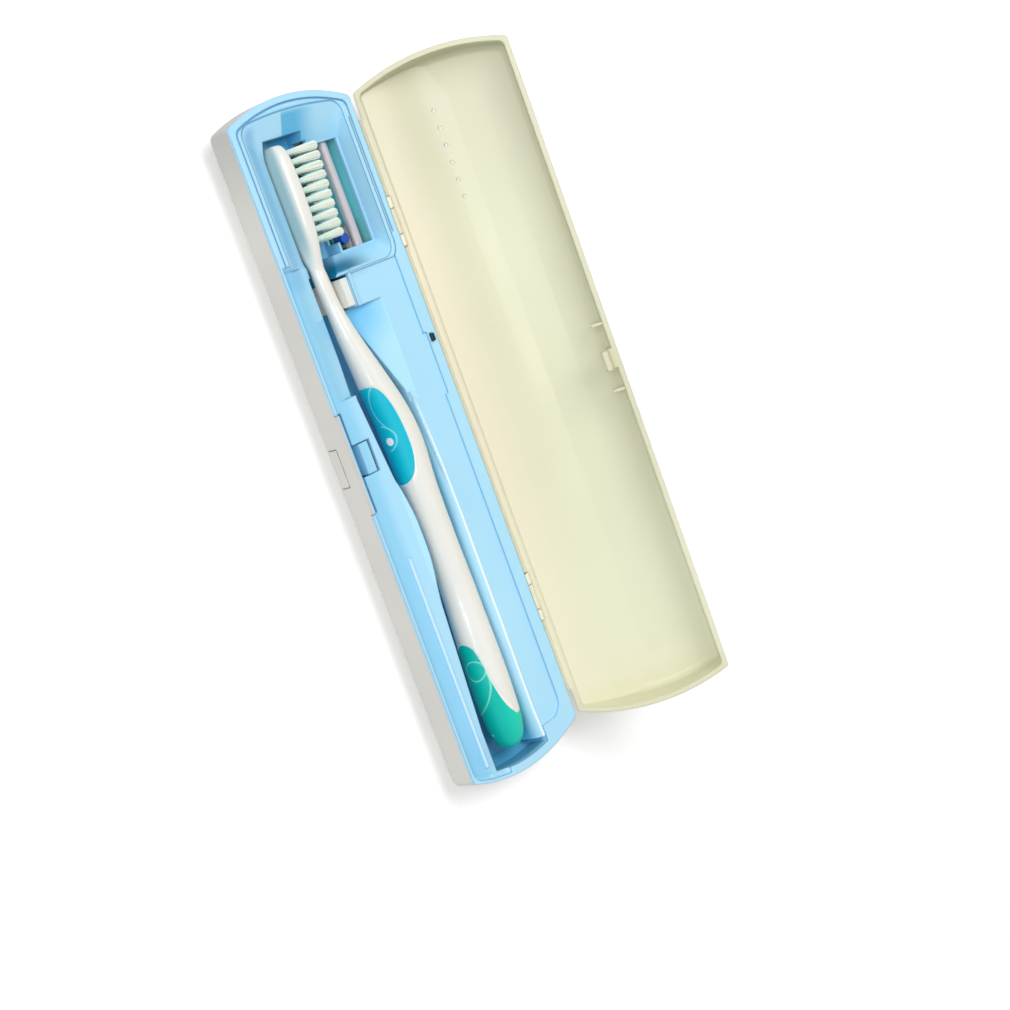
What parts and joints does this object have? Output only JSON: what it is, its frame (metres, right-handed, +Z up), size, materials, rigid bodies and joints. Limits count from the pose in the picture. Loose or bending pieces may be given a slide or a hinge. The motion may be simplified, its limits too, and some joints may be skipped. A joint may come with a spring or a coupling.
{
  "type": "uv toothbrush sterilizer",
  "caption": "Long hinged travel case, lid open, with a blue inner tray, a lamp tube under a window, hidden batteries and a toothbrush lying on its side.",
  "frame": {"origin": "centre of the flat underside, on the surface that the case stands on", "axes": "+Z up, +X along the case towards the brush's handle end, +Y towards the hinge, -Y towards the latch button"},
  "size_m": [0.215, 0.0879, 0.0564],
  "materials": {
    "shell": "smooth satin ivory-grey moulding",
    "lid": "smooth satin cream moulding",
    "tray": "smooth satin light blue moulding",
    "catch": "smooth satin pale blue moulding",
    "button": "smooth satin ivory moulding",
    "cover": "smooth satin ivory-grey moulding",
    "neck_support": "smooth white moulding",
    "lamp_tube": "milky glass tube, seen unlit",
    "lamp_socket": "white moulding",
    "reflector": "teal coated sheet",
    "board": "green laminate",
    "transformer": "yellow taped winding",
    "chip": "black moulding",
    "capacitor": "blue sleeve",
    "switch": "black moulding",
    "plunger": "small blue button",
    "battery": "plain dark sleeve",
    "contact": "nickel plated spring sheet",
    "screw": "zinc plated",
    "pin": "bright steel wire",
    "brush": "glossy white moulding",
    "grip_upper": "soft turquoise rubber",
    "grip_lower": "soft green-blue rubber with pale swirls",
    "bristle": "pale nylon strands"
  },
  "bodies": {
    "base": {"base_shell": "shell", "inner_tray": "tray", "neck_rest": "neck_support", "uv_lamp": "lamp_tube", "lamp_holder_head": "lamp_socket", "lamp_holder_neck": "lamp_socket", "lamp_reflector": "reflector", "circuit_board": "board", "inverter_transformer": "transformer", "timer_chip": "chip", "board_capacitors": "capacitor", "lid_switch_body": "switch", "battery_1": "battery", "battery_2": "battery", "battery_contact_plus": "contact", "battery_contact_minus": "contact", "case_screws": "screw", "hinge_pin_head": "pin", "hinge_pin_handle": "pin", "toothbrush_body": "brush", "brush_bristles": "bristle", "brush_grip_upper": "grip_upper", "brush_grip_lower": "grip_lower", "brush_grip_dot": "brush"},
    "latch": {"latch_button": "button", "latch_catch": "catch"},
    "plunger": {"switch_plunger": "plunger"},
    "lid": {"lid_shell": "lid"},
    "cover": {"battery_cover": "cover"}
  },
  "joints": [
    {"name": "lid_hinge", "type": "hinge", "parent": "base", "child": "lid", "pos_m": [0, 0.026, 0.0148], "axis": [1, 0, 0], "range_deg": [0, 124.26]},
    {"name": "latch_slide", "type": "slide", "parent": "base", "child": "latch", "axis": [0, 1, 0], "range_m": [0, 0.0012], "stiffness_N_per_m": 300},
    {"name": "switch_plunger_slide", "type": "slide", "parent": "base", "child": "plunger", "axis": [0, 0, -1], "range_m": [0, 0.0009]},
    {"name": "battery_cover_slide", "type": "slide", "parent": "base", "child": "cover", "axis": [0, 0, -1], "range_m": [0, 0.012]}
  ],
  "couplings": [
    {"joint": "switch_plunger_slide", "follows": "lid_hinge", "m_per_rad": 0.00041}
  ]
}
